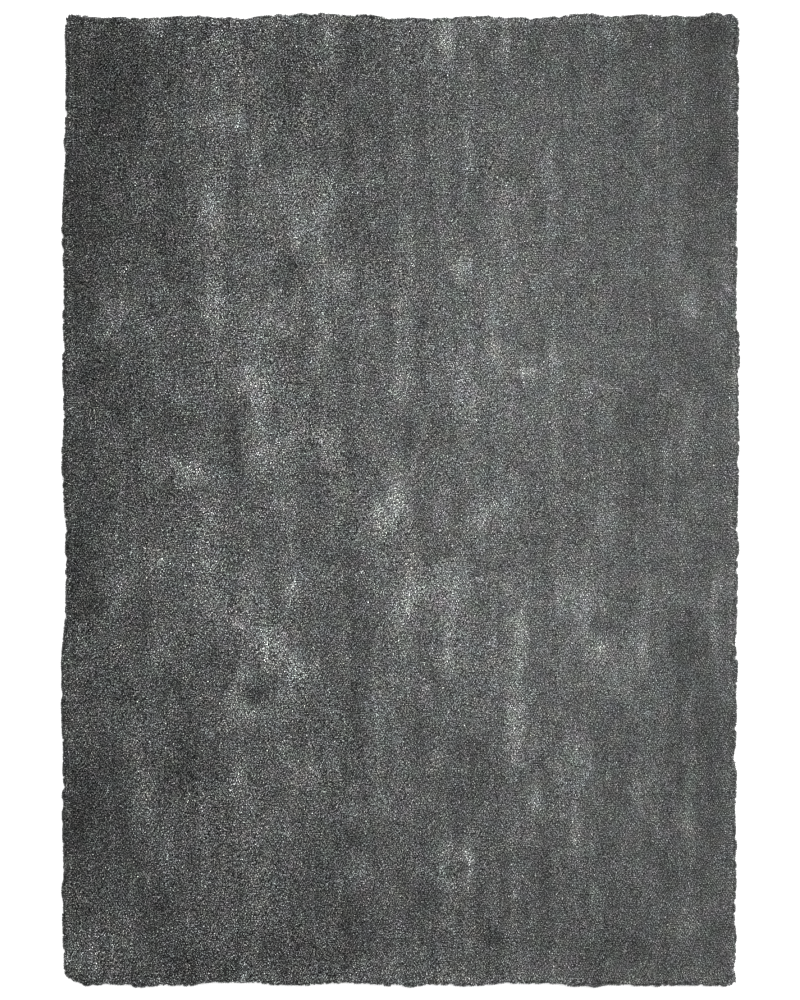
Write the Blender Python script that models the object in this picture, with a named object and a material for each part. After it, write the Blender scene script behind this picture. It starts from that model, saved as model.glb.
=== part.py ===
"""A shag rug lying flat: deep cut pile in charcoal yarn on a thin ground cloth.

Metres, Z up. The rug lies on Z = 0 with the origin under its middle, its length
along Y and its width along X. It is one piece of cloth, so it is one closed solid
that reaches as far as the tips of the pile do.
"""

import math
import random

import bmesh
import bpy
from mathutils import Vector
from mathutils.geometry import delaunay_2d_cdt

WIDTH = 1.600            # nominal, edge to edge along X
LENGTH = 2.300           # nominal, end to end along Y
THICKNESS = 0.035        # ground cloth and standing pile together
OUTLINE_STEP = 0.026     # longest stretch between two points of the outline
TUFT_STRAY = 0.0009      # how far single tufts push the outline in or out
TOP_SPACING = 0.046      # spacing of the points on the pile's face
BASE_SPACING = 0.150     # spacing of the points on the underside
TUFT_SEED = 7
MM = 0.001

PILE_GREY = (0.112, 0.115, 0.113, 1.0)
PILE_ROUGHNESS = 0.85

# Where each edge swells or draws in, a row for each turn. Both columns are in mm:
# distance along the edge from its middle, and how far the pile stands out past the
# straight line of the nominal size there (minus is in).
LEFT_EDGE = (
    (-1110, -2), (-930, 4), (-870, 0), (-740, 3), (-600, 0), (-540, 4), (-405, 5),
    (-340, 2), (-290, -3), (-225, -6), (-50, -5), (40, 2), (120, 4), (175, -1),
    (320, 2), (395, -1), (430, 2), (490, -2), (640, 4), (825, -6), (850, -1),
    (920, -6), (1035, -6), (1105, -4),
)
RIGHT_EDGE = (
    (-1110, -6), (-1035, -2), (-1005, -6), (-840, -1), (-730, -5), (-645, -1),
    (-615, -5), (-490, -1), (-465, -4), (-385, 1), (-355, -3), (-175, 1), (-110, 4),
    (-80, 0), (50, 3), (150, 5), (185, 2), (365, 6), (440, -1), (515, -3), (595, 1),
    (625, -2), (755, 1), (855, 3), (885, 0), (990, 4), (1070, 0),
)
TOP_EDGE = (
    (-705, -6), (-665, -3), (-620, -6), (-480, 2), (-420, -4), (-360, -3), (-287, 4),
    (-263, 1), (-235, 7), (-212, 2), (-190, 7), (-125, 1), (-75, 3), (-5, -7),
    (25, -3), (75, -6), (215, 1), (275, -4), (335, -4), (410, 4), (455, 6), (493, -1),
    (590, 4), (633, 0), (690, 3), (712, 2),
)
BOTTOM_EDGE = (
    (-745, 2), (-680, -2), (-627, 7), (-555, 1), (-505, 3), (-450, -6), (-385, -4),
    (-355, -7), (-315, -1), (-220, 1), (-160, -5), (-90, -3), (-25, 3), (0, 0),
    (24, 6), (60, -1), (155, 3), (280, -4), (350, -3), (412, 4), (436, 1), (462, 6),
    (495, -1), (590, 4), (683, 0), (745, 2),
)

# The corners, each as points in mm from its nominal corner (x, y), going round the
# rug against the clock. The one at the bottom left is cut off in two small steps.
CORNER_BOTTOM_LEFT = ((2, 34), (5, 25), (8, 18), (18, 16), (24, 10), (39, 7), (46, 0))
CORNER_BOTTOM_RIGHT = ((-42, -2), (-20, -4), (-10, -1), (-4, 7), (-5, 22))
CORNER_TOP_RIGHT = ((7, -40), (4, -28), (2, -12), (-4, -2), (-13, 4), (-30, 5), (-60, 7))
CORNER_TOP_LEFT = ((40, 2), (22, 3), (10, 1), (4, -6), (5, -22))

# The side seen end on, from the floor up: height and how far inside the outline, in
# mm. The cloth's cut edge stands back under the pile, which fans out over it, is
# widest a third of the way up, and rounds over to the top.
RIM_PROFILE = (
    (0, 16), (3, 14), (6, 5), (13, 0), (22, 3), (29, 9), (33.5, 20),
)

# Shallow swells of the pile's face: wavelength along X and Y in metres, height in mm.
FACE_SWELLS = (
    (0.41, 0.67, 0.45), (0.23, 0.31, 0.40), (-0.13, 0.19, 0.35), (0.083, -0.11, 0.25),
)
FACE_LOW = 1.45 * MM     # the face's mean level below the full thickness


def along(edge, to_point, reverse=False):
    """The points of one edge from its table, going round the rug."""
    rows = reversed(edge) if reverse else edge
    return [to_point(place * MM, stray * MM) for place, stray in rows]


def corner(points, x_side, y_side):
    return [
        (x_side * WIDTH / 2 + x * MM, y_side * LENGTH / 2 + y * MM) for x, y in points
    ]


def outline():
    """The rug's outline as seen from above, against the clock, centred on the origin."""
    turns = corner(CORNER_BOTTOM_LEFT, -1, -1)
    turns += along(BOTTOM_EDGE, lambda place, out: (place, -LENGTH / 2 - out))
    turns += corner(CORNER_BOTTOM_RIGHT, 1, -1)
    turns += along(RIGHT_EDGE, lambda place, out: (WIDTH / 2 + out, place))
    turns += corner(CORNER_TOP_RIGHT, 1, 1)
    turns += along(TOP_EDGE, lambda place, out: (place, LENGTH / 2 + out), reverse=True)
    turns += corner(CORNER_TOP_LEFT, -1, 1)
    turns += along(LEFT_EDGE, lambda place, out: (-WIDTH / 2 - out, place), reverse=True)

    tufts = random.Random(TUFT_SEED)
    points = []
    for start, end in zip(turns, turns[1:] + turns[:1]):
        run = Vector(end) - Vector(start)
        outward = Vector((run.y, -run.x)).normalized()
        pieces = max(1, math.ceil(run.length / OUTLINE_STEP))
        for i in range(pieces):
            stray = tufts.uniform(-TUFT_STRAY, TUFT_STRAY) if i else 0.0
            points.append(Vector(start) + run * (i / pieces) + outward * stray)

    middle = Vector(
        [(min(p[k] for p in points) + max(p[k] for p in points)) / 2 for k in (0, 1)]
    )
    return [p - middle for p in points]


def face_height(x, y):
    """How high the pile stands at a place on its face."""
    swell = sum(
        height * MM * math.sin(math.tau * (x / wave_x + y / wave_y) + i)
        for i, (wave_x, wave_y, height) in enumerate(FACE_SWELLS)
    )
    return THICKNESS - FACE_LOW + swell


def inset(points, distance):
    """The outline drawn in by the same distance on every side."""
    scale_x = 1 - 2 * distance / WIDTH
    scale_y = 1 - 2 * distance / LENGTH
    return [(p.x * scale_x, p.y * scale_y) for p in points]


def fill(loop, spacing):
    """Triangles over the inside of a loop, with a staggered grid of points in it."""
    reach_x = max(x for x, y in loop) - spacing
    reach_y = max(y for x, y in loop) - spacing
    rows = math.floor(2 * reach_y / (spacing * math.sqrt(0.75)))
    columns = math.floor(2 * reach_x / spacing)
    inner = []
    for r in range(rows + 1):
        shift = (r % 2) / 2
        for c in range(columns + 1 - r % 2):
            x = -reach_x + 2 * reach_x * (c + shift) / columns
            inner.append((x, -reach_y + 2 * reach_y * r / rows))
    count = len(loop)
    places = [Vector(p) for p in loop + inner]
    edges = [(i, (i + 1) % count) for i in range(count)]
    only_inside = 1
    found = delaunay_2d_cdt(places, edges, [], only_inside, 1e-6)
    if len(found[0]) != len(places):
        raise ValueError("two points of the cloth fall together")
    return inner, found[2]


for old in list(bpy.data.objects):
    bpy.data.objects.remove(old)

edge_points = outline()
shell = bmesh.new()

# The side, ring over ring, from the underside to where the face begins.
rings = []
for height, inward in RIM_PROFILE:
    ring = []
    for x, y in inset(edge_points, inward * MM):
        z = height * MM * face_height(x, y) / (THICKNESS - FACE_LOW)
        ring.append(shell.verts.new((x, y, z)))
    rings.append(ring)
for lower, upper in zip(rings, rings[1:]):
    for i in range(len(lower)):
        j = (i + 1) % len(lower)
        shell.faces.new((lower[i], lower[j], upper[j], upper[i]))

# The pile's face and the flat underside.
for ring, spacing, is_face in (
    (rings[-1], TOP_SPACING, True),
    (rings[0], BASE_SPACING, False),
):
    inner, triangles = fill([(v.co.x, v.co.y) for v in ring], spacing)
    verts = list(ring)
    for x, y in inner:
        verts.append(shell.verts.new((x, y, face_height(x, y) if is_face else 0.0)))
    for triangle in triangles:
        shell.faces.new([verts[i] for i in triangle])

bmesh.ops.recalc_face_normals(shell, faces=shell.faces)
mesh = bpy.data.meshes.new("rug")
shell.to_mesh(mesh)
shell.free()
mesh.shade_smooth()
rug = bpy.data.objects.new("rug", mesh)
bpy.context.scene.collection.objects.link(rug)

material = bpy.data.materials.new("charcoal_pile")
material.use_nodes = True
material.diffuse_color = PILE_GREY
shader = material.node_tree.nodes["Principled BSDF"]
shader.inputs["Base Color"].default_value = PILE_GREY
shader.inputs["Roughness"].default_value = PILE_ROUGHNESS
shader.inputs["Metallic"].default_value = 0.0
mesh.materials.append(material)
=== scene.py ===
import math

import bmesh
import bpy
import numpy as np
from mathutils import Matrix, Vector, noise
from mathutils.bvhtree import BVHTree


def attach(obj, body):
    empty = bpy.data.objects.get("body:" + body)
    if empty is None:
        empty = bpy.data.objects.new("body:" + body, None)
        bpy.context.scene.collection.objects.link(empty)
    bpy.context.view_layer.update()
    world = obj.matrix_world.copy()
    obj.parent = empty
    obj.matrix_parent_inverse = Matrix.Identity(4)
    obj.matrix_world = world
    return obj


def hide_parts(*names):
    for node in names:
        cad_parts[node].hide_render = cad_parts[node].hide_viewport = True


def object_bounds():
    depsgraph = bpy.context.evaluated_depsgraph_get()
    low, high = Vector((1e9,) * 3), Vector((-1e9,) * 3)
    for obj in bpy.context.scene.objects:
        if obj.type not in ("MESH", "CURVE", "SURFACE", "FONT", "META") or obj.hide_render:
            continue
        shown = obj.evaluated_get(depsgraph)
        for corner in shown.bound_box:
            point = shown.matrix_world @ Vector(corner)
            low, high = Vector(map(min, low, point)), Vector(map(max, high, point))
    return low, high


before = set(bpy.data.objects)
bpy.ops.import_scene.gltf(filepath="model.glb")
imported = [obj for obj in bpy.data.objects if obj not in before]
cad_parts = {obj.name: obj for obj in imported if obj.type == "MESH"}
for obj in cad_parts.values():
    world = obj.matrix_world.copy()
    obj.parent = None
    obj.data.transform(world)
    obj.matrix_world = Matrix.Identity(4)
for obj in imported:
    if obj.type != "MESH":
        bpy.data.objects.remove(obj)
cad_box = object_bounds()
scene = bpy.context.scene

# The camera looks straight down on the middle of the rug, with the rug's length up
# the picture. It stands well back, so the edges show almost no side.
LENS, SENSOR = 100.0, 36.0
PICTURE_LENGTH = 2.3735     # metres of rug from the picture's top to its bottom
WIDEST_HEIGHT = 0.013       # where the pile reaches furthest out
MIDDLE = (-0.0017, 0.0011)  # the picture's middle, on the rug
SIGHT_END = 60.0

camera_data = bpy.data.cameras.new("camera_above")
camera_data.lens = LENS
camera_data.sensor_width = SENSOR
camera_data.clip_end = SIGHT_END
camera = bpy.data.objects.new("camera_above", camera_data)
camera.location = (*MIDDLE, WIDEST_HEIGHT + PICTURE_LENGTH * LENS / SENSOR)
scene.collection.objects.link(camera)
scene.camera = camera

# The studio: a white floor under an even white sky, and one very wide, soft lamp a
# little to the head of the rug, so that the yarn has a lit and a shaded side.
SKY_STRENGTH = 1.3
LAMP_STRENGTH = 2.1
LAMP_SPREAD = math.radians(28)
LAMP_LEAN = (math.radians(-24), math.radians(10), 0.0)
FLOOR_SIZE = 9.0
FLOOR_WHITE = (0.93, 0.93, 0.93, 1.0)
FLOOR_DULLNESS = 0.8
FLOOR_SHINE = 0.2

world = bpy.data.worlds.new("white_sky")
world.use_nodes = True
sky = world.node_tree.nodes["Background"]
sky.inputs["Color"].default_value = (1.0, 1.0, 1.0, 1.0)
sky.inputs["Strength"].default_value = SKY_STRENGTH
scene.world = world
scene.view_settings.view_transform = "Standard"

lamp_data = bpy.data.lights.new("soft_lamp", "SUN")
lamp_data.energy = LAMP_STRENGTH
lamp_data.angle = LAMP_SPREAD
lamp = bpy.data.objects.new("soft_lamp", lamp_data)
lamp.rotation_euler = LAMP_LEAN
scene.collection.objects.link(lamp)

shape = bmesh.new()
bmesh.ops.create_grid(shape, x_segments=1, y_segments=1, size=FLOOR_SIZE)
floor_mesh = bpy.data.meshes.new("floor")
shape.to_mesh(floor_mesh)
shape.free()
floor = bpy.data.objects.new("floor", floor_mesh)
scene.collection.objects.link(floor)
floor_paint = bpy.data.materials.new("floor_white")
floor_paint.use_nodes = True
floor_shader = floor_paint.node_tree.nodes["Principled BSDF"]
floor_shader.inputs["Base Color"].default_value = FLOOR_WHITE
floor_shader.inputs["Roughness"].default_value = FLOOR_DULLNESS
floor_shader.inputs["Specular IOR Level"].default_value = FLOOR_SHINE
floor_mesh.materials.append(floor_paint)

# The ground cloth: a thin plain-woven sheet that carries the whole pile. It has the
# rug's outline, a little inside the yarn, and shows only from underneath.
CLOTH_THICKNESS = 0.0022
CLOTH_GREY = (0.21, 0.21, 0.20, 1.0)
CLOTH_DARK = (0.07, 0.07, 0.068, 1.0)
THREADS_PER_METRE = 420.0
TUFT_ROWS_PER_METRE = 118.0
THREAD_SWAY = 0.6        # how unevenly the threads run, and the rows of tufts
ROW_SWAY = 1.5
CLOTH_DULLNESS = (0.95, 0.8)  # between the threads and on them
CLOTH_RELIEF = (0.7, 0.001)   # strength, and height in metres
SAME_PLACE = 0.00005     # corners of the CAD node this near are one
UNDERSIDE = (-0.99, 0.0005)   # its faces point down at least so much, and lie so low


def merged_copy(source):
    """The CAD node's loose triangles as one closed bmesh."""
    copy = bmesh.new()
    copy.from_mesh(source.data)
    bmesh.ops.remove_doubles(copy, verts=copy.verts, dist=SAME_PLACE)
    return copy


def shown(name, body_mesh):
    """A finished piece: its object, linked, riding on the rug's one body."""
    piece = bpy.data.objects.new(name, body_mesh)
    scene.collection.objects.link(piece)
    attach(piece, "root")
    return piece


def joined(tree, kind, inputs=(), **settings):
    """One node with its settings and its inputs, each a value or another socket."""
    node = tree.nodes.new(kind)
    for key, value in settings.items():
        setattr(node, key, value)
    for key, value in inputs:
        if isinstance(value, bpy.types.NodeSocket):
            tree.links.new(value, node.inputs[key])
        else:
            node.inputs[key].default_value = value
    return node


rug_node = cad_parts["rug"]
sheet = merged_copy(rug_node)
not_under = [
    f
    for f in sheet.faces
    if f.normal.z > UNDERSIDE[0] or f.calc_center_median().z > UNDERSIDE[1]
]
bmesh.ops.delete(sheet, geom=not_under, context="FACES")
under_faces = list(sheet.faces)
grown = bmesh.ops.extrude_face_region(sheet, geom=under_faces, use_keep_orig=True)
bmesh.ops.translate(
    sheet,
    verts=[v for v in grown["geom"] if isinstance(v, bmesh.types.BMVert)],
    vec=(0.0, 0.0, CLOTH_THICKNESS),
)
bmesh.ops.recalc_face_normals(sheet, faces=sheet.faces)
cloth_mesh = bpy.data.meshes.new("ground_cloth")
sheet.to_mesh(cloth_mesh)
sheet.free()
ground_cloth = shown("ground_cloth", cloth_mesh)

cloth_paint = bpy.data.materials.new("plain_weave")
cloth_paint.use_nodes = True
tree = cloth_paint.node_tree
shader = tree.nodes["Principled BSDF"]
place = joined(tree, "ShaderNodeTexCoord").outputs["Object"]
warp = joined(
    tree, "ShaderNodeTexWave",
    (("Vector", place), ("Scale", THREADS_PER_METRE / math.tau),
     ("Distortion", THREAD_SWAY)),
    bands_direction="X",
)
weft = joined(
    tree, "ShaderNodeTexWave",
    (("Vector", place), ("Scale", THREADS_PER_METRE / math.tau),
     ("Distortion", THREAD_SWAY)),
    bands_direction="Y",
)
stitch = joined(
    tree, "ShaderNodeTexWave",
    (("Vector", place), ("Scale", TUFT_ROWS_PER_METRE / math.tau),
     ("Distortion", ROW_SWAY)),
    bands_direction="X",
)
threads = joined(
    tree, "ShaderNodeMath",
    ((0, warp.outputs["Fac"]), (1, weft.outputs["Fac"])), operation="MULTIPLY",
)
rows = joined(
    tree, "ShaderNodeMath",
    ((0, threads.outputs[0]), (1, stitch.outputs["Fac"])), operation="MULTIPLY",
)
cloth_tone = joined(tree, "ShaderNodeValToRGB", (("Fac", rows.outputs[0]),))
cloth_tone.color_ramp.elements[0].color = CLOTH_DARK
cloth_tone.color_ramp.elements[1].color = CLOTH_GREY
tree.links.new(cloth_tone.outputs["Color"], shader.inputs["Base Color"])
dullness = joined(
    tree, "ShaderNodeMapRange",
    (("Value", threads.outputs[0]), ("To Min", CLOTH_DULLNESS[0]),
     ("To Max", CLOTH_DULLNESS[1])),
)
tree.links.new(dullness.outputs[0], shader.inputs["Roughness"])
relief = joined(
    tree, "ShaderNodeBump",
    (("Height", rows.outputs[0]), ("Strength", CLOTH_RELIEF[0]),
     ("Distance", CLOTH_RELIEF[1])),
)
tree.links.new(relief.outputs["Normal"], shader.inputs["Normal"])
cloth_mesh.materials.append(cloth_paint)

# The bed of the pile: the lower part of the yarn, packed too close to tell apart. It
# fills the rug from the ground cloth to just under the tips, and is seen in the gaps
# between them. It is painted darker than the tips, as painted shade deep in the pile,
# and lighter or darker as the pile lies there, as painted sheen and shade.
BED_SIDE_INSET = 0.0026  # how far the tips stand out past it on every side
BED_TOP_INSET = 0.0070   # and above
BED_LUMP = 0.0012        # its unevenness
BED_LUMP_SIZE = 0.011
BED_FOOT = 0.001         # its lowest part, which lies flat on the cloth
BED_PAINTED_SHADE = 0.300         # how light it is painted beside the tips, as painted shade deep in the pile
YARN_GREY = (0.1356, 0.1400, 0.1376)
TINTS_PER_METRE = 22.0   # places where the grey is a little warmer or cooler
TINT = 0.066             # and by how much of itself, at most
FLECKS_PER_METRE = 330.0
FLECK_AND_GLINT_CONTRAST = 9.5     # between the yarn's lightest flecks, its mixed fibres and painted glints, and its mean
FLECK_SIDES = (1.42, 0.73)  # how strong they look at the left and at the right
FLECKS_FADE_FROM = -0.45  # where across the rug they begin to be weaker, in metres
NOISE_RANGE = (0.3, 0.7)  # where nearly all the values of a noise lie
BED_FIBRES_PER_METRE = 420.0
BED_DULLNESS = (0.98, 0.85)
BED_RELIEF = (0.8, 0.003)  # strength, and height in metres
BED_SHINE = 0.06
TUFT_WIDTH = 0.017       # of the lobes that the outermost tufts form along the edges
TUFT_BULGE = 0.0064      # how far those stand out past the notches between them
TUFT_ROUND = 2.4         # how soon past a notch a lobe reaches its full width
TUFT_MEAN = 0.64         # a lobe's mean width, as a share of its full one
TUFT_SEED = 2

# How light the pile is painted, as painted sheen and shade of how it lies: across the
# rug and along it, as (centimetres from the middle, lightness).
SHADE_ACROSS = (
    (-80, 0.35), (-60, 0.50), (-40, 0.60), (-10, 0.75), (25, 1.05), (80, 1.15),
)
SHADE_ALONG = (
    (-115, 0.75), (-85, 0.80), (-35, 1.05), (50, 1.10), (115, 0.90),
)
# Places where the pile was brushed flat and shines, and where it stands up and looks
# into its own shade. Centimetres from the rug's middle: across, along, half width,
# half length, and how much lighter or darker.
BRUSHED = (
    (28, 88, 28, 26, .10),
    (-73.5, 110.5, 2, 3, .45), (-58, 112, 2, 3, .8), (-42.5, 108, 3.5, 5, .45),
    (-31, 108, 1, 6, .3), (-17, 110, 2, 5, .5), (11, 109, 1.5, 5, 1),
    (19.5, 113, 1.3, 3.5, .45), (25, 108, 1.5, 6.5, .6), (48.5, 110.5, 2.5, 2.5, .3),
    (-65, 107.5, 2.5, 5, .25), (-49.5, 103, 1.3, 11, .3), (-17, 107, 3, 6, .3),
    (-1.5, 107, 1.5, 8.5, .3), (6.5, 103, 1.6, 7, .4), (-74, 98, 3, 6, .25),
    (-44.5, 93, 1.8, 9, .25), (-41.5, 97, 3, 3.5, .35), (49, 97.5, 2, 3, .3),
    (-49, 90.5, 1, 2.5, .3), (-43, 90, 3.5, 2.5, .35), (-39, 89, 2, 2, .95),
    (-16, 88, 2, 2, .35), (14.5, 85.5, 2, 7, .25), (61, 90.5, 2.5, 4.5, .25),
    (-35.5, 79.5, 2, 7, .3), (-34, 83, 1.8, 4.5, .4), (-25, 77.5, 3.5, 3.5, .35),
    (-8, 77, 1.8, 5.5, .6), (1.5, 82, 2, 3, .4), (34.5, 78.5, 1.5, 6, .35),
    (-65.5, 68.5, 2, 3, .2), (-28.5, 72.5, 6, 7, .35), (-17.5, 70, 2.5, 9.5, .55),
    (-13, 74.5, 2.5, 2.5, .35), (25, 72.5, 1.5, 4, .5), (-45.5, 68, 2.5, 4, .7),
    (-45.5, 60, 1.8, 12, .25), (-24.5, 64.5, 2.5, 3.5, .5), (25, 66, 2, 5, .25),
    (-33, 57, 2.5, 4, .3), (-21.5, 58, 1.5, 7, .25), (-15, 52.5, 2.5, 3.5, .6),
    (3, 55, 1.5, 8.5, .5), (13.5, 56.5, 1.5, 4, .4), (15.5, 54.5, 3, 3.5, .45),
    (-43.5, 45, 3, 4, .55), (-6, 44, 1.5, 6, .3), (68.5, 45.5, 2, 3, .7),
    (69, 51, 1.5, 3.5, .3), (-69.5, 40, 2, 4, .35), (-66, 43, 4, 5, .35),
    (-36, 39, 2, 3.5, .3), (-33.5, 43, 1.5, 7, .25), (-27.5, 43, 3.5, 5, .35),
    (-18.5, 40.5, 2.5, 12, .35), (.5, 43, 1.5, 6, .4), (6, 38, 2.5, 3, .3),
    (22, 40.5, 2, 8.5, .45), (73.5, 41.5, 1.5, 3, .3), (-41.5, 32, 3, 3, .35),
    (11.5, 33.5, 3.5, 6, .3), (24, 33.5, 2.5, 3.5, .35), (30.5, 30.5, 2, 2, .8),
    (36.5, 34.5, 2, 2, .3), (-54, 26, 3, 5, .25), (-35, 27.5, 4, 4.5, .65),
    (0, 27.5, 2.5, 3, .45), (16.5, 24, 5, 5, .25), (26, 20.5, 2.5, 7, .3),
    (42.5, 25, 4, 5, .2), (44.5, 26.5, 2, 2.5, .55), (71, 22.5, 2.5, 2.5, .45),
    (-33.5, 15.5, 2.5, 8.5, .45), (-25.5, 14, 2, 2, .65), (-20.5, 14.5, 3, 2.5, .4),
    (-17, 12, 2, 4.5, .45), (-6, 14.5, 3, 5, .25), (5, 18, 2, 3.5, .3), (68, 18, 1, 5, .45),
    (-53.5, 7.5, 5, 2, .35), (-51.5, 5.5, 3, 3.5, .35), (-46.5, 5, 2, 2.5, .45),
    (-30, 11.5, 2, 3, .4), (0, 5, 3, 6.5, .55), (31, 10.5, 2, 2, .35),
    (63, 11, 1.5, 3.5, .3), (-45.5, -3.5, 2, 6, .4), (-28.5, -1, 3, 2.5, .3),
    (-1.5, -2, 3, 3.5, .6), (12, 3, 2, 4, .25), (23.5, -3.5, 3.5, 3.5, .4),
    (-6, -4.5, 2.5, 3.5, .5), (17.5, -4.5, 2.5, 3, .35), (47.5, -6, 3, 6, .3),
    (-66, -20, 2.5, 4, .4), (-57, -15.5, 3, 3.5, .65), (-45.5, -20, 2, 10.5, .45),
    (-34.5, -16.5, 2, 2.5, .5), (-24.5, -20, 3, 3, .6), (-17, -18, 2, 2, .35),
    (1.5, -20, 2.5, 5, .55), (12, -20, 3, 8.5, .6), (25, -20, 2, 3, .25),
    (-36, -24, 5, 3, .3), (-1.5, -26, 3, 5, .3), (5.5, -21, 2, 3, .3),
    (38, -23, 2.5, 4, .25), (42.5, -22.5, 3, 5, .45), (66, -23, 6.5, 3.5, .4),
    (74, -27, 1.5, 7, .55), (-75, -35, 2, 3, .3), (-56, -36, 2, 5, .35),
    (-38, -31, 2.5, 3.5, .55), (-32, -34.5, 3.5, 5, .6), (11.5, -32, 2.5, 6, .4),
    (27.5, -30.5, 2, 3.5, .5), (42.5, -30.5, 2.5, 3.5, .4), (46.5, -34.5, 2.5, 3, .4),
    (55.5, -34.5, 3, 6, .45), (-37.5, -42, 1.5, 3, .65), (-25, -39.5, 3, 3.5, .6),
    (11.5, -38.5, 2, 2.5, .35), (22.5, -42.5, 1.8, 3, .35), (46, -37, 4, 3, .4),
    (50, -42.5, 2.5, 3.5, .45), (-47, -50, 3.5, 4, .25), (-40, -48.5, 2, 3, .65),
    (-35.5, -51, 2.5, 2, .75), (-28, -46, 3, 3, .5), (-4.5, -45, 2.5, 4, .3),
    (27, -44, 2.5, 12, .34), (-63, -56, 2.5, 4, .5), (-5, -58, 1.5, 14, .3),
    (27, -54.5, 3, 5, .4), (-39.5, -67.5, 1.5, 6, .5), (-22.5, -65, 3, 4.5, .45),
    (43, -60.5, 3, 8.5, .4), (-61, -73, 2.5, 7, .45), (-34.5, -74, 1.6, 6, .4),
    (-12, -72.5, 1.5, 3.5, .4), (32, -73, 2, 3, .55), (55, -68.5, 2.5, 6.5, .35),
    (-28.5, -76, 2.5, 3.5, .3), (11.3, -83.7, 2.2, 2.4, .85), (41.5, -78, 2, 6, .6),
    (66.5, -76, 1.5, 3.5, .35), (-67.5, -89, 2.5, 5, .3), (-55.5, -84.5, 1.5, 4, .6),
    (-35, -87.5, 2.5, 4, .45), (-24, -85.5, 1.5, 3.5, .4), (-11.5, -88, 2, 3, .5),
    (13, -91, 2.6, 1.6, .75), (10, -88.5, 1.4, 1.6, .5), (16, -85.5, 1.4, 4, .7),
    (55, -85.5, 2.5, 3.5, .35), (-35, -97, 1.5, 7, .25), (-73, -106, 8, 8, .4),
    (-64.5, -101, 2.5, 6, .35), (-42.5, -103, 2.5, 3.5, .25), (66.5, -101, 2, 5, .35),
    (68, -101, 2.5, 4, .25), (-74.5, -109, 3.5, 4.5, .35), (-36, -110, 1.8, 5, .4),
    (-4, -111, 2.5, 3, .4), (29, -109, 1.5, 3.5, .5), (36, -112, 3, 3.5, .35),
)
STANDING = (
    (73.5, 110.5, 4.5, 5, -.45), (-58, 101, 8.5, 12, -.25), (-12, 104, 3, 6, -.25),
    (-70, 96.5, 7, 14, -.4), (-26, 99, 4, 7, -.35), (-53, 76, 3.5, 4, -.4),
    (-32, 80.5, 1.5, 2.5, -.5), (-19.5, 79, 2, 4, -.35), (-11.5, 82, 2, 3.5, -.4),
    (17.5, 76, 1.5, 3, -.35), (26, 77, 2, 3.5, -.5), (71, 76, 6, 14, -.12),
    (76, 80, 2.5, 8, -.25), (-78, 73, 4, 7, -.3), (27.5, 69, 1.2, 5, -.4),
    (-72, 62, 4, 8, -.4), (-60, 64, 5, 4, -.45), (-53, 64, 3, 7, -.2),
    (-39, 66.5, 1.5, 7, -.3), (-13.5, 66, 1.5, 5, -.35), (-9.5, 68, 2.5, 13, -.35),
    (-52, 53.5, 3, 5, -.4), (-26, 56, 3, 2.5, -.25), (-76, 45.5, 3, 7, -.3),
    (-50, 47, 2, 5, -.3), (-28.5, 52, 5, 3, -.35), (-26.5, 36.5, 3, 2, -.3),
    (-23, 38, 1, 6, -.35), (4.5, 43, 1.5, 3, -.3), (-72, 31, 4, 5, -.45),
    (66, 35, 2.5, 6, -.25), (-64, 23, 6, 4, -.35), (-55, 17.5, 5, 4.5, -.35),
    (-39, 12, 2, 10.5, -.6), (-9.5, 15.5, 3, 5, -.3), (1.7, 14, 1.5, 6, -.6),
    (55.5, 19, 4.5, 9.5, -.25), (-17, 6, 2, 2, -.3), (57, 5, 2.5, 5, -.25),
    (67, 5, 3, 4, -.25), (-49, 1, 5, 2, -.3), (34, -9.5, 3, 2, -.25),
    (-77.5, -14, 3.5, 10.5, -.5), (-15.5, -13, 3, 2, -.4), (10, -12, 2.5, 2.5, -.5),
    (-73, -25, 3.5, 4, -.4), (-59, -27, 3, 3, -.3), (-11.5, -23.5, 2.5, 14, -.35),
    (-7, -33, 2, 4, -.35), (5, -33, 2, 5, -.35), (46, -31.5, 1, 2.5, -.4),
    (68, -34.5, 3, 12, -.4), (-43, -38, 5, 4, -.5), (7, -41, 2.5, 2.5, -.35),
    (-53.5, -44, 3.5, 3.5, -.35), (-42, -44, 2, 1.5, -.3), (-34, -45.5, 3, 2.5, -.75),
    (-11, -47, 2, 8, -.3), (-50, -54.5, 5, 9.5, -.3), (-9.5, -58, 2, 6, -.35),
    (4.5, -54.5, 4.5, 7, -.25), (17, -59, 3, 3, -.35), (72, -54, 5, 5, -.35),
    (-73.5, -64, 4.5, 6, -.45), (-52, -66, 3.5, 4, -.4), (-46, -63, 3, 3, -.25),
    (-13, -65, 1.5, 3.5, -.4), (19, -66.5, 5, 5, -.35), (33.5, -65.5, 1.2, 3.5, -.3),
    (64, -60, 2, 4, -.25), (-75, -74.5, 5, 6, -.45), (-33, -71, 1, 9.5, -.25),
    (-15.5, -69, 1.8, 3, -.4), (53, -72, 1.2, 8, -.3), (-12, -82, 1.8, 2, -.3),
    (-11, -79.5, 3, 2.5, -.3), (3.5, -79.5, 6, 3.5, -.2), (-56, -97, 3, 6, -.4),
    (-18.5, -92.5, 4.5, 9.5, -.35), (4.5, -95, 4, 4, -.35), (14, -87.3, 1.4, 2, -.5),
    (18, -94, 1.2, 6, -.3),
    (33, -95, 4, 5, -.2), (-38, -104, 1.3, 8, -.5), (-31, -105, 4, 3, -.3),
    (-9.5, -102, 5, 7, -.3), (22.5, -104, 1.8, 3, -.5), (52, -105.5, 14, 3.5, -.25),
    (-49, -109, 6, 3.5, -.45), (-19, -108, 12, 3, -.3),
)
PATCH_STRENGTH = 0.87    # of both tables together
PATCH_FALL = 0.9         # how fast a patch fades towards its outline
# How a patch's outline strays across and along, as shares of its own half width and
# half length, and how much the hairs within it differ: each with the width and the
# length of the strayings in metres, and their seed.
RAGGED_ACROSS = (0.35, 0.014, 0.030, 11)
RAGGED_ALONG = (0.6, 0.010, 0.090, 12)
HAIRS = (0.6, 0.007, 0.12, 13)
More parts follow.
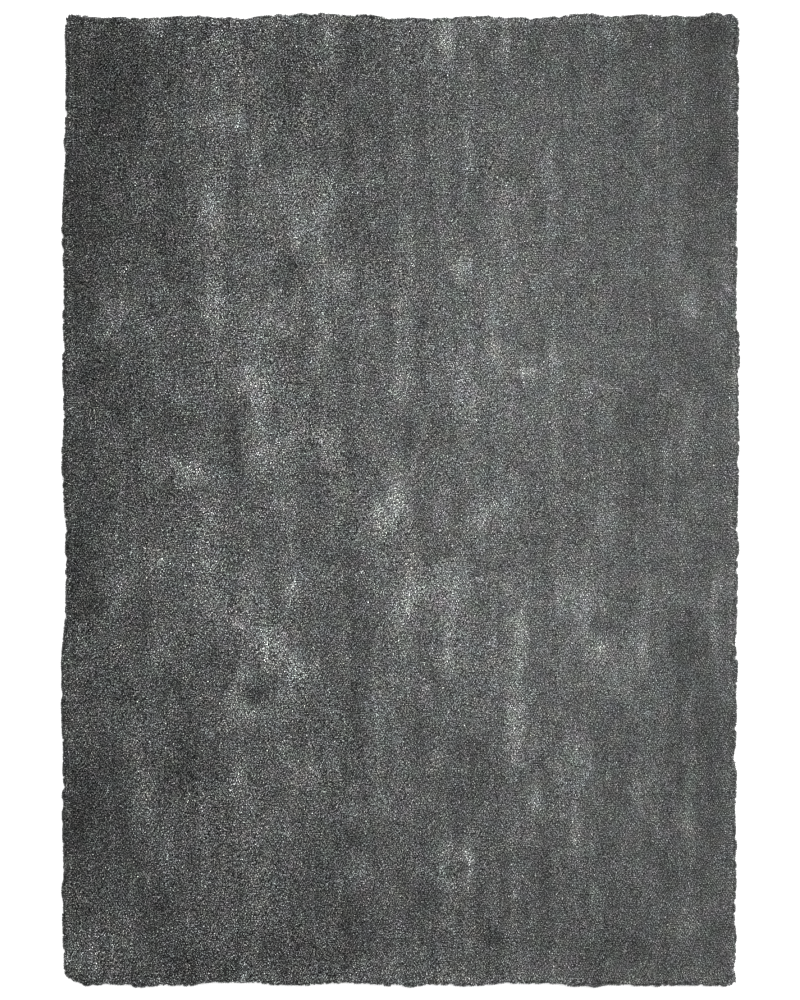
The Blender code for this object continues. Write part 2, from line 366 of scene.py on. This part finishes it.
# The combing left by the roller, as lengthwise streaks, and the clumps the ends form:
# how wide and how long each kind is in metres, and how much lighter or darker it is
# painted, as painted sheen and shade.
COMBING = (
    (0.008, 0.30, 0.17), (0.013, 0.70, 0.10), (0.012, 0.050, 0.17), (0.026, 0.10, 0.07),
    (0.008, 0.012, 0.06), (0.016, 0.026, 0.07), (0.050, 0.45, 0.04),
)
COMBING_SEED = 20
DRIFT_CELLS = 400

low, high = (np.array(corner) for corner in cad_box)
width, length, thickness = high - low


def drift(x, y, cell_x, cell_y, seed):
    """Soft random hills and hollows from -1 to 1, of the given size each way."""
    values = np.random.default_rng(seed).uniform(-1.0, 1.0, (DRIFT_CELLS + 1,) * 2)
    u, v = x / cell_x + DRIFT_CELLS / 2, y / cell_y + DRIFT_CELLS / 2
    i, j = np.floor(u).astype(int), np.floor(v).astype(int)
    fu, fv = u - i, v - j
    fu, fv = fu * fu * (3 - 2 * fu), fv * fv * (3 - 2 * fv)
    near = values[i, j] * (1 - fu) + values[i + 1, j] * fu
    far = values[i, j + 1] * (1 - fu) + values[i + 1, j + 1] * fu
    return near * (1 - fv) + far * fv


def swayed(x, y, sway):
    """Soft random hills and hollows, from (height, width, length, seed)."""
    height, cell_x, cell_y, seed = sway
    return height * drift(x, y, cell_x, cell_y, seed)


def edge_tufts(x, y):
    """How far the outermost tufts push the pile out, or let it fall back, there."""
    swell = np.abs(drift(x, y, TUFT_WIDTH, TUFT_WIDTH, TUFT_SEED))
    lobe = np.minimum(TUFT_ROUND * swell, 1.0)
    return TUFT_BULGE * (lobe * (2.0 - lobe) - TUFT_MEAN)


def lie_of_pile(x, y):
    """Painted sheen and shade of the pile's lie at each place, and how far it is brushed.
    """
    shade = np.interp(x * 100, *np.array(SHADE_ACROSS).T)
    shade = shade * np.interp(y * 100, *np.array(SHADE_ALONG).T)
    ragged_x, ragged_y = swayed(x, y, RAGGED_ACROSS), swayed(x, y, RAGGED_ALONG)
    brushed = np.zeros(len(x))
    for at_x, at_y, half_width, half_length, strength in BRUSHED + STANDING:
        across = (x * 100 - at_x) / half_width + ragged_x
        along = (y * 100 - at_y) / half_length + ragged_y
        brushed += strength * np.exp(-PATCH_FALL * (across**2 + along**2))
    brushed *= 1 + swayed(x, y, HAIRS)
    combed = np.zeros(len(x))
    for seed, (cell_x, cell_y, strength) in enumerate(COMBING):
        combed += strength * drift(x, y, cell_x, cell_y, seed + COMBING_SEED)
    return shade * np.exp(PATCH_STRENGTH * brushed + combed), brushed


def flecked_and_glinting_grey(tree, place, tone):
    """The yarn's grey at the given tone, with tints, and flecks of mixed fibres and painted
    glints.
    """
    fuzz = joined(
        tree, "ShaderNodeTexNoise",
        (("Vector", place), ("Scale", FLECKS_PER_METRE), ("Detail", 1.0),
         ("Roughness", 1.0), ("Distortion", 0.3)),
    )
    spread = joined(
        tree, "ShaderNodeMapRange",
        (("Value", fuzz.outputs["Fac"]), ("From Min", NOISE_RANGE[0]),
         ("From Max", NOISE_RANGE[1]), ("To Min", -1.0)),
    )
    across = joined(tree, "ShaderNodeSeparateXYZ", (("Vector", place),))
    strength = joined(
        tree, "ShaderNodeMapRange",
        (("Value", across.outputs["X"]), ("From Min", FLECKS_FADE_FROM),
         ("From Max", high[0]), ("To Min", FLECK_SIDES[0]), ("To Max", FLECK_SIDES[1])),
    )
    power = joined(
        tree, "ShaderNodeMath", ((0, spread.outputs[0]), (1, strength.outputs[0])),
        operation="MULTIPLY",
    )
    fleck = joined(
        tree, "ShaderNodeMath", ((0, FLECK_AND_GLINT_CONTRAST), (1, power.outputs[0])),
        operation="POWER",
    )
    flecked_tone = joined(
        tree, "ShaderNodeMath", ((0, tone), (1, fleck.outputs[0])), operation="MULTIPLY"
    )
    patches = joined(
        tree, "ShaderNodeTexNoise",
        (("Vector", place), ("Scale", TINTS_PER_METRE), ("Detail", 0.0)),
    )
    tint = joined(
        tree, "ShaderNodeVectorMath",
        ((0, patches.outputs["Color"]), (1, (2 * TINT,) * 3), (2, (1 - TINT,) * 3)),
        operation="MULTIPLY_ADD",
    )
    tinted = joined(
        tree, "ShaderNodeVectorMath", ((0, tint.outputs[0]), (1, YARN_GREY)),
        operation="MULTIPLY",
    )
    return joined(
        tree, "ShaderNodeVectorMath",
        ((0, tinted.outputs[0]), ("Scale", flecked_tone.outputs[0])), operation="SCALE",
    ).outputs[0]


bed = merged_copy(rug_node)
bmesh.ops.scale(
    bed,
    verts=bed.verts,
    vec=(
        1 - 2 * BED_SIDE_INSET / width,
        1 - 2 * BED_SIDE_INSET / length,
        (thickness - BED_TOP_INSET - CLOTH_THICKNESS) / thickness,
    ),
)
bmesh.ops.translate(bed, verts=bed.verts, vec=(0.0, 0.0, CLOTH_THICKNESS))
bmesh.ops.subdivide_edges(bed, edges=bed.edges, cuts=1, use_grid_fill=True)
bed.normal_update()
bed_places = np.array([v.co for v in bed.verts])
bulges = edge_tufts(bed_places[:, 0], bed_places[:, 1])
for v, bulge in zip(bed.verts, bulges):
    if v.co.z > CLOTH_THICKNESS + BED_FOOT:
        v.co += v.normal * BED_LUMP * noise.noise(v.co / BED_LUMP_SIZE)
        v.co.xy += v.normal.xy * bulge
bmesh.ops.recalc_face_normals(bed, faces=bed.faces)
bed_mesh = bpy.data.meshes.new("pile_bed")
bed.to_mesh(bed_mesh)
bed.free()
bed_mesh.shade_smooth()
# Painted sheen and shade of how the pile lies, darkened by painted shade of the depths.
bed_light, _ = lie_of_pile(bed_places[:, 0], bed_places[:, 1])
bed_mesh.attributes.new("lightness", "FLOAT", "POINT").data.foreach_set(
    "value", bed_light * BED_PAINTED_SHADE
)
pile_bed = shown("pile_bed", bed_mesh)
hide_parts("rug")

bed_paint = bpy.data.materials.new("packed_yarn_in_painted_shade")
bed_paint.use_nodes = True
tree = bed_paint.node_tree
shader = tree.nodes["Principled BSDF"]
place = joined(tree, "ShaderNodeTexCoord").outputs["Object"]
lightness = joined(tree, "ShaderNodeAttribute", attribute_name="lightness").outputs["Fac"]
tree.links.new(flecked_and_glinting_grey(tree, place, lightness), shader.inputs["Base Color"])
fibres = joined(
    tree, "ShaderNodeTexNoise",
    (("Vector", place), ("Scale", BED_FIBRES_PER_METRE), ("Detail", 3.0),
     ("Roughness", 0.65)),
)
dullness = joined(
    tree, "ShaderNodeMapRange",
    (("Value", fibres.outputs["Fac"]), ("To Min", BED_DULLNESS[0]),
     ("To Max", BED_DULLNESS[1])),
)
tree.links.new(dullness.outputs[0], shader.inputs["Roughness"])
relief = joined(
    tree, "ShaderNodeBump",
    (("Height", fibres.outputs["Fac"]), ("Strength", BED_RELIEF[0]),
     ("Distance", BED_RELIEF[1])),
)
tree.links.new(relief.outputs["Normal"], shader.inputs["Normal"])
shader.inputs["Specular IOR Level"].default_value = BED_SHINE
bed_mesh.materials.append(bed_paint)

# The pile: ends of soft charcoal yarn, each bent over by use and by the roller it was
# packed on. They are tufted in lengthwise bands, edge to edge, and the outermost ones
# droop over the cloth's cut edge.
SEED = 20
PAST_EDGE = 0.01         # the rows begin and end this far outside the rug
CORE_INSET = 0.04        # how far inside the edges the frame of the side's rows lies
SEARCH_FROM = (1.0, 0.2)  # the surface is looked for from so far above and outside
TUFT_PITCH = 0.0055      # distance between neighbouring yarn ends
ROW_PITCH = math.sqrt(0.75)   # between the staggered rows they form, in pitches
JITTER = 0.20            # how far an end strays from its place, in pitches
SIDE_FROM = 0.62         # a surface steeper than this (its normal's Z) is the side
SIDE_PITCH = 0.0042      # distance between neighbouring ends there
SIDE_ROW_PITCH = 0.85
SIDE_JITTER_UP = 0.7     # of the jitter, upward
SIDE_ROWS = (0.0025, 0.033)   # heights of the lowest row and of the end of the rows
LOWEST_END = 0.0015
# How the rows wander from straight, across the rug and along it: how far, over what
# width and length, all in metres, and the seed.
WANDER_ACROSS = (0.006, 0.055, 0.055, 3)
WANDER_ALONG = (0.006, 0.055, 0.055, 4)

END_RADIUS = 0.00185     # of a yarn end where it is thickest
END_RADIUS_SPREAD = (0.95, 1.08)
END_LENGTH = (0.0150, 0.0215)
CROOK = 0.62             # how far along the yarn bends over and is thickest
ROOT_TILT = 0.5          # how much the part below the crook leans, to that above it
SUNK = 0.0012            # how far the deepest tips stay under the pile's surface
SUNK_SKEW = (1.3, 2.2)   # more of them lie near it than deep
SIDE_COVER = 0.7         # of the radius, by which the ends on the side stay under it
FLOOR_GAP = 0.0012
LYING = 0.03             # share of the ends that lie down and catch the light
# Painted light on the ends that lie down, as a share of their tone.
LYING_PAINTED_LIGHT = (0.8, 1.3)
TONE_SPREAD = 0.06       # between single ends
TWISTS = 3.0             # turns of the two plies along an end

# Which way the ends lean across and along the rug, and how strongly: in swells of
# (strength, width and length in metres, seed), and in other ways.
LEAN_ACROSS = ((0.50, 0.022, 0.030, 6), (0.30, 0.06, 0.09, 7))
LEAN_ALONG = ((0.50, 0.022, 0.030, 8), (0.30, 0.06, 0.09, 9))
LEAN_TO_FOOT = 0.25      # of the whole pile
LEAN_BRUSHED = 0.5       # more, where it was brushed
LEAN_SPREAD = 0.15       # between single ends
RIM_FAN = 0.020          # width of the rim, where the yarn leans outward
RIM_LEAN = 0.25          # by this much
RIM_EVENNESS = 0.4       # and less every other way
SIDE_DROOP = 2.2         # how strongly the ends on the side turn down
# How far they tilt from upright, in degrees.
TILT_LEAST = 10.0
TILT_PER_LEAN = 17.0
TILT_SPREAD = 3.0
TILT_LYING = 38.0        # more, for those that lie down
TILT_LIMITS = (4.0, 80.0)
SIDE_TUCK = (2.4, 16.8)  # how far the drooping ends turn back in at their tips

BANDS = 10
FIELD_MARGIN = 0.12      # round each end's field in the second map, as a share of it

rng = np.random.default_rng(SEED)
surface = BVHTree.FromPolygons(
    [v.co.copy() for v in rug_node.data.vertices],
    [tuple(p.vertices) for p in rug_node.data.polygons],
)

# Where the yarn ends come out on the pile's face, in staggered rows.
rows_y = np.arange(low[1] - PAST_EDGE, high[1] + PAST_EDGE, TUFT_PITCH * ROW_PITCH)
rows_x = np.arange(low[0] - PAST_EDGE, high[0] + PAST_EDGE, TUFT_PITCH)
grid_x, grid_y = np.meshgrid(rows_x, rows_y)
grid_x = grid_x + (np.arange(len(rows_y)) % 2)[:, None] * TUFT_PITCH / 2
spots = np.stack([grid_x.ravel(), grid_y.ravel()], 1)
spots += rng.uniform(-JITTER, JITTER, spots.shape) * TUFT_PITCH
spots[:, 0] += swayed(*spots.T, WANDER_ACROSS)
spots[:, 1] += swayed(*spots.T, WANDER_ALONG)
tips, normals = [], []
for x, y in spots:
    above = Vector((x, y, SEARCH_FROM[0]))
    hit, normal, _, _ = surface.ray_cast(above, Vector((0.0, 0.0, -1.0)))
    if hit is not None and normal.z > SIDE_FROM:
        tips.append(hit)
        normals.append(normal)

# And on its sides, in rows round the rug, each end straight out from an inner frame.
core_x, core_y = width / 2 - CORE_INSET, length / 2 - CORE_INSET
corner_run = CORE_INSET * math.pi / 2
legs = (
    ((-core_x, -core_y), (1, 0), 2 * core_x, -90.0),
    ((core_x, -core_y), (0, 1), 2 * core_y, 0.0),
    ((core_x, core_y), (-1, 0), 2 * core_x, 90.0),
    ((-core_x, core_y), (0, -1), 2 * core_y, 180.0),
)
side_heights = np.arange(*SIDE_ROWS, SIDE_PITCH * SIDE_ROW_PITCH)
for row, height in enumerate(side_heights):
    for start, heading, run, facing in legs:
        for step in np.arange(0.5 * (row % 2), (run + corner_run) / SIDE_PITCH):
            at = (step + rng.uniform(-JITTER, JITTER)) * SIDE_PITCH
            turn = math.radians(facing + 90.0 * max(0.0, at - run) / corner_run)
            out = Vector((math.cos(turn), math.sin(turn), 0.0))
            x = start[0] + heading[0] * min(at, run)
            y = start[1] + heading[1] * min(at, run)
            z = height + rng.uniform(-JITTER, JITTER) * SIDE_PITCH * SIDE_JITTER_UP
            z = max(z, LOWEST_END)
            outside = Vector((x, y, z)) + out * SEARCH_FROM[1]
            hit, normal, _, _ = surface.ray_cast(outside, -out)
            if hit is not None and normal.z <= SIDE_FROM:
                tips.append(hit)
                normals.append(normal)

tips, normals = np.array(tips), np.array(normals)
count = len(tips)
x, y = tips[:, 0], tips[:, 1]
on_side = normals[:, 2] <= SIDE_FROM
tips[:, :2] += normals[:, :2] * edge_tufts(x, y)[:, None]

# How the pile lies at each end, and how light that makes it.
shade, brushed = lie_of_pile(x, y)
lean_x = rng.normal(0.0, LEAN_SPREAD, count)
lean_x += sum(swayed(x, y, sway) for sway in LEAN_ACROSS)
lean_y = rng.normal(0.0, LEAN_SPREAD, count)
lean_y += sum(swayed(x, y, sway) for sway in LEAN_ALONG)
lean_y -= LEAN_TO_FOOT + LEAN_BRUSHED * np.clip(brushed, 0.0, 1.0)
for sideways, spot, half in ((lean_x, x, width / 2), (lean_y, y, length / 2)):
    at_rim = np.clip(1.0 - (half - np.abs(spot)) / RIM_FAN, 0.0, 1.0)
    sideways *= 1.0 - RIM_EVENNESS * at_rim
    sideways += RIM_LEAN * at_rim * np.sign(spot)
lean = np.stack([lean_x, lean_y, np.where(on_side, -SIDE_DROOP, 0.0)], 1)
lean -= normals * (lean * normals).sum(1, keepdims=True)
amount = np.linalg.norm(lean, axis=1, keepdims=True)
lean /= np.maximum(amount, 1e-6)
tilt = TILT_LEAST + TILT_PER_LEAN * amount[:, 0] + rng.normal(0, TILT_SPREAD, count)
lying = rng.random(count) < LYING
tilt = np.clip(np.where(lying, tilt + TILT_LYING, tilt), *TILT_LIMITS)
tilt = np.radians(np.where(on_side, 90.0 + rng.uniform(*SIDE_TUCK, count), tilt))

# Each end as three points: its root in the bed, the crook, and the tip. On the face
# the tip lies at the surface, and on the sides, where the yarn droops, the crook does.
end_length = rng.uniform(*END_LENGTH, count)
depth = rng.beta(*SUNK_SKEW, count) * SUNK
depth = np.where(on_side, depth + SIDE_COVER * END_RADIUS, depth * normals[:, 2])
upper, lower = (
    normals * np.cos(bend)[:, None] + lean * np.sin(bend)[:, None]
    for bend in (tilt, ROOT_TILT * tilt)
)
to_tip = upper * (end_length * (1 - CROOK))[:, None]
tip_at = tips - normals * depth[:, None] + np.where(on_side[:, None], to_tip, 0.0)
crook_at = tip_at - to_tip
root_at = crook_at - lower * (end_length * CROOK)[:, None]
root_at[:, 2] = np.maximum(root_at[:, 2], CLOTH_THICKNESS)
crook_at[:, 2] = np.maximum(crook_at[:, 2], CLOTH_THICKNESS)
tip_at[:, 2] = np.maximum(tip_at[:, 2], FLOOR_GAP)

# One yarn end to copy: three-sided, thickest at the crook, thin at its root and tip.
# It is one high, and its root, crook and tip are told apart at these heights.
STEM_PARTS = (-0.25, 0.75)
STEM_TIP = 0.5           # how far the tip stands up from the crook
STEM_SAME_PLACE = 0.001
stem = bmesh.new()
bmesh.ops.create_cone(
    stem, cap_ends=True, segments=3, radius1=0.0, radius2=1.0, depth=1.0
)
bmesh.ops.remove_doubles(stem, verts=stem.verts, dist=STEM_SAME_PLACE)
cap = max(stem.faces, key=lambda f: f.calc_center_median().z)
bmesh.ops.poke(stem, faces=[cap], offset=STEM_TIP)
bmesh.ops.triangulate(stem, faces=stem.faces)
bmesh.ops.recalc_face_normals(stem, faces=stem.faces)
stem.verts.index_update()
stem_verts = np.array([v.co for v in stem.verts])
stem_faces = np.array([[v.index for v in f.verts] for f in stem.faces])
stem.free()
level = np.digitize(stem_verts[:, 2], STEM_PARTS)  # 0 root, 1 crook, 2 tip
ring = stem_verts[:, :2] * (level == 1)[:, None]
around = (np.arctan2(stem_verts[:, 1], stem_verts[:, 0]) / math.tau) % 1.0
# Each face's corners on the yarn: how far round it and how far along, so that the
# twist runs unbroken.
face_round = around[stem_faces]
for f, corners in enumerate(stem_faces):
    on_ring = level[corners] == 1
    if np.ptp(face_round[f][on_ring]) > 0.5:
        face_round[f][face_round[f] < 0.5] += 1.0
    face_round[f][~on_ring] = face_round[f][on_ring].mean()
face_along = np.array([0.0, CROOK, 1.0])[level[stem_faces]]

# Painted sheen and shade of the lie, each end's own tone, and painted light on lying ends.
yarn_shade = shade * np.exp(rng.normal(0.0, TONE_SPREAD, count))
yarn_shade *= np.where(lying, rng.uniform(*LYING_PAINTED_LIGHT, count), 1.0)
radius = END_RADIUS * rng.uniform(*END_RADIUS_SPREAD, count)
roll = rng.uniform(0, math.tau, count)
NEARLY_UPRIGHT = 0.9     # the Z of a direction past which X is its helper


def across_of(direction):
    """Two unit vectors square to each direction."""
    helper = np.where(
        np.abs(direction[:, 2:]) < NEARLY_UPRIGHT, [[0.0, 0.0, 1.0]], [[1.0, 0.0, 0.0]]
    )
    first = np.cross(direction, helper)
    first /= np.linalg.norm(first, axis=1, keepdims=True)
    return first, np.cross(direction, first)


middle = lower + upper
middle /= np.linalg.norm(middle, axis=1, keepdims=True)
first, second = across_of(middle)
centres = np.stack([root_at, crook_at, tip_at], 1)
c, s = np.cos(roll)[:, None], np.sin(roll)[:, None]
turned_x = ring[:, 0] * c - ring[:, 1] * s
turned_y = ring[:, 0] * s + ring[:, 1] * c
points = centres[:, level, :] + radius[:, None, None] * (
    turned_x[:, :, None] * first[:, None, :] + turned_y[:, :, None] * second[:, None, :]
)

# The yarn: two plies of fine fibres, with painted shade between the plies and towards
# the root, deep in the pile, and painted light at the tip.
FIBRES_PER_METRE = 900.0
SHADED_PART = (0.45, 0.95)   # along the end: from its darkest to its lightest
ROOT_SHADE_TO_TIP_LIGHT = (0.40, 1.50)   # how light it is painted there: painted shade at the root, painted light at the tip
FIBRE_TONES = (0.72, 1.28)
# Painted shade in the grooves between the plies, lighter on their crowns.
PLY_SHADE_TONES = (0.88, 1.1)
YARN_GLOSS = (0.34, 0.62)
PLY_RIDGE = 0.5              # how high a ply stands out, to a fibre
YARN_RELIEF = (0.5, 0.0006)  # strength, and height in metres
YARN_SHINE = 0.15

yarn_paint = bpy.data.materials.new("charcoal_yarn")
yarn_paint.use_nodes = True
tree = yarn_paint.node_tree
shader = tree.nodes["Principled BSDF"]
place = joined(tree, "ShaderNodeTexCoord").outputs["Object"]
lightness = joined(tree, "ShaderNodeAttribute", attribute_name="lightness").outputs["Fac"]
ply = joined(tree, "ShaderNodeUVMap", uv_map="ply").outputs["UV"]
on_yarn = joined(tree, "ShaderNodeSeparateXYZ", (("Vector", ply),))
winding = joined(
    tree, "ShaderNodeMath",
    ((0, on_yarn.outputs["Y"]), (1, TWISTS), (2, on_yarn.outputs["X"])),
    operation="MULTIPLY_ADD",
)
wound = joined(
    tree, "ShaderNodeMath",
    ((0, winding.outputs[0]), (1, 2 * math.tau)), operation="MULTIPLY",
)
plies = joined(tree, "ShaderNodeMath", ((0, wound.outputs[0]),), operation="SINE")
fibres = joined(
    tree, "ShaderNodeTexNoise",
    (("Vector", place), ("Scale", FIBRES_PER_METRE), ("Detail", 2.0),
     ("Roughness", 0.6)),
)
root_shade = joined(
    tree, "ShaderNodeMapRange",
    (("Value", on_yarn.outputs["Y"]), ("From Min", SHADED_PART[0]),
     ("From Max", SHADED_PART[1]), ("To Min", ROOT_SHADE_TO_TIP_LIGHT[0]), ("To Max", ROOT_SHADE_TO_TIP_LIGHT[1])),
)
fibre_shade = joined(
    tree, "ShaderNodeMapRange",
    (("Value", fibres.outputs["Fac"]), ("From Min", NOISE_RANGE[0]),
     ("From Max", NOISE_RANGE[1]), ("To Min", FIBRE_TONES[0]), ("To Max", FIBRE_TONES[1])),
)
ply_shade = joined(
    tree, "ShaderNodeMapRange",
    (("Value", plies.outputs[0]), ("From Min", -1.0), ("To Min", PLY_SHADE_TONES[0]),
     ("To Max", PLY_SHADE_TONES[1])),
)
tone = lightness
for part in (root_shade, fibre_shade, ply_shade):
    tone = joined(
        tree, "ShaderNodeMath", ((0, tone), (1, part.outputs[0])), operation="MULTIPLY"
    ).outputs[0]
tree.links.new(flecked_and_glinting_grey(tree, place, tone), shader.inputs["Base Color"])
gloss = joined(
    tree, "ShaderNodeMapRange",
    (("Value", fibres.outputs["Fac"]), ("To Min", YARN_GLOSS[0]),
     ("To Max", YARN_GLOSS[1])),
)
tree.links.new(gloss.outputs[0], shader.inputs["Roughness"])
ridges = joined(
    tree, "ShaderNodeMath",
    ((0, plies.outputs[0]), (1, PLY_RIDGE), (2, fibres.outputs["Fac"])),
    operation="MULTIPLY_ADD",
)
relief = joined(
    tree, "ShaderNodeBump",
    (("Height", ridges.outputs[0]), ("Strength", YARN_RELIEF[0]),
     ("Distance", YARN_RELIEF[1])),
)
tree.links.new(relief.outputs["Normal"], shader.inputs["Normal"])
shader.inputs["Specular IOR Level"].default_value = YARN_SHINE

bands = np.clip(((x - low[0]) / width * BANDS).astype(int), 0, BANDS - 1)
for band in range(BANDS):
    ends = np.flatnonzero(bands == band)
    ends_here = len(ends)
    band_points = points[ends].reshape(-1, 3)
    band_faces = (
        stem_faces[None] + len(stem_verts) * np.arange(ends_here)[:, None, None]
    ).reshape(-1, 3)
    mesh = bpy.data.meshes.new(f"pile_{band + 1}")
    mesh.vertices.add(len(band_points))
    mesh.vertices.foreach_set("co", band_points.ravel())
    mesh.loops.add(band_faces.size)
    mesh.loops.foreach_set("vertex_index", band_faces.ravel())
    mesh.polygons.add(len(band_faces))
    mesh.polygons.foreach_set("loop_start", np.arange(len(band_faces)) * 3)
    mesh.update(calc_edges=True)
    mesh.shade_smooth()
    light = mesh.attributes.new("lightness", "FLOAT", "POINT")
    light.data.foreach_set("value", np.repeat(yarn_shade[ends], len(stem_verts)))

    # Where each corner lies on its yarn, for the twist, and each yarn's own small
    # field of a second map, so that a flat picture of the pile has room for them all.
    ply_map = mesh.uv_layers.new(name="ply")
    on_ply = np.stack([face_round, face_along], -1).reshape(-1, 2)
    ply_map.uv.foreach_set("vector", np.tile(on_ply, (ends_here, 1)).ravel())
    field = on_ply.copy().reshape(-1, 3, 2)
    field[..., 0] /= field[..., 0].max()
    columns = math.ceil(math.sqrt(ends_here))
    cell = np.stack([np.arange(ends_here) % columns, np.arange(ends_here) // columns], 1)
    field_map = mesh.uv_layers.new(name="OFBake")
    fields = (
        cell[:, None, None] + FIELD_MARGIN + (1 - 2 * FIELD_MARGIN) * field[None]
    ) / columns
    field_map.uv.foreach_set("vector", fields.ravel())

    mesh.materials.append(yarn_paint)
    piece = shown(f"pile_{band + 1}", mesh)
    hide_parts("rug")
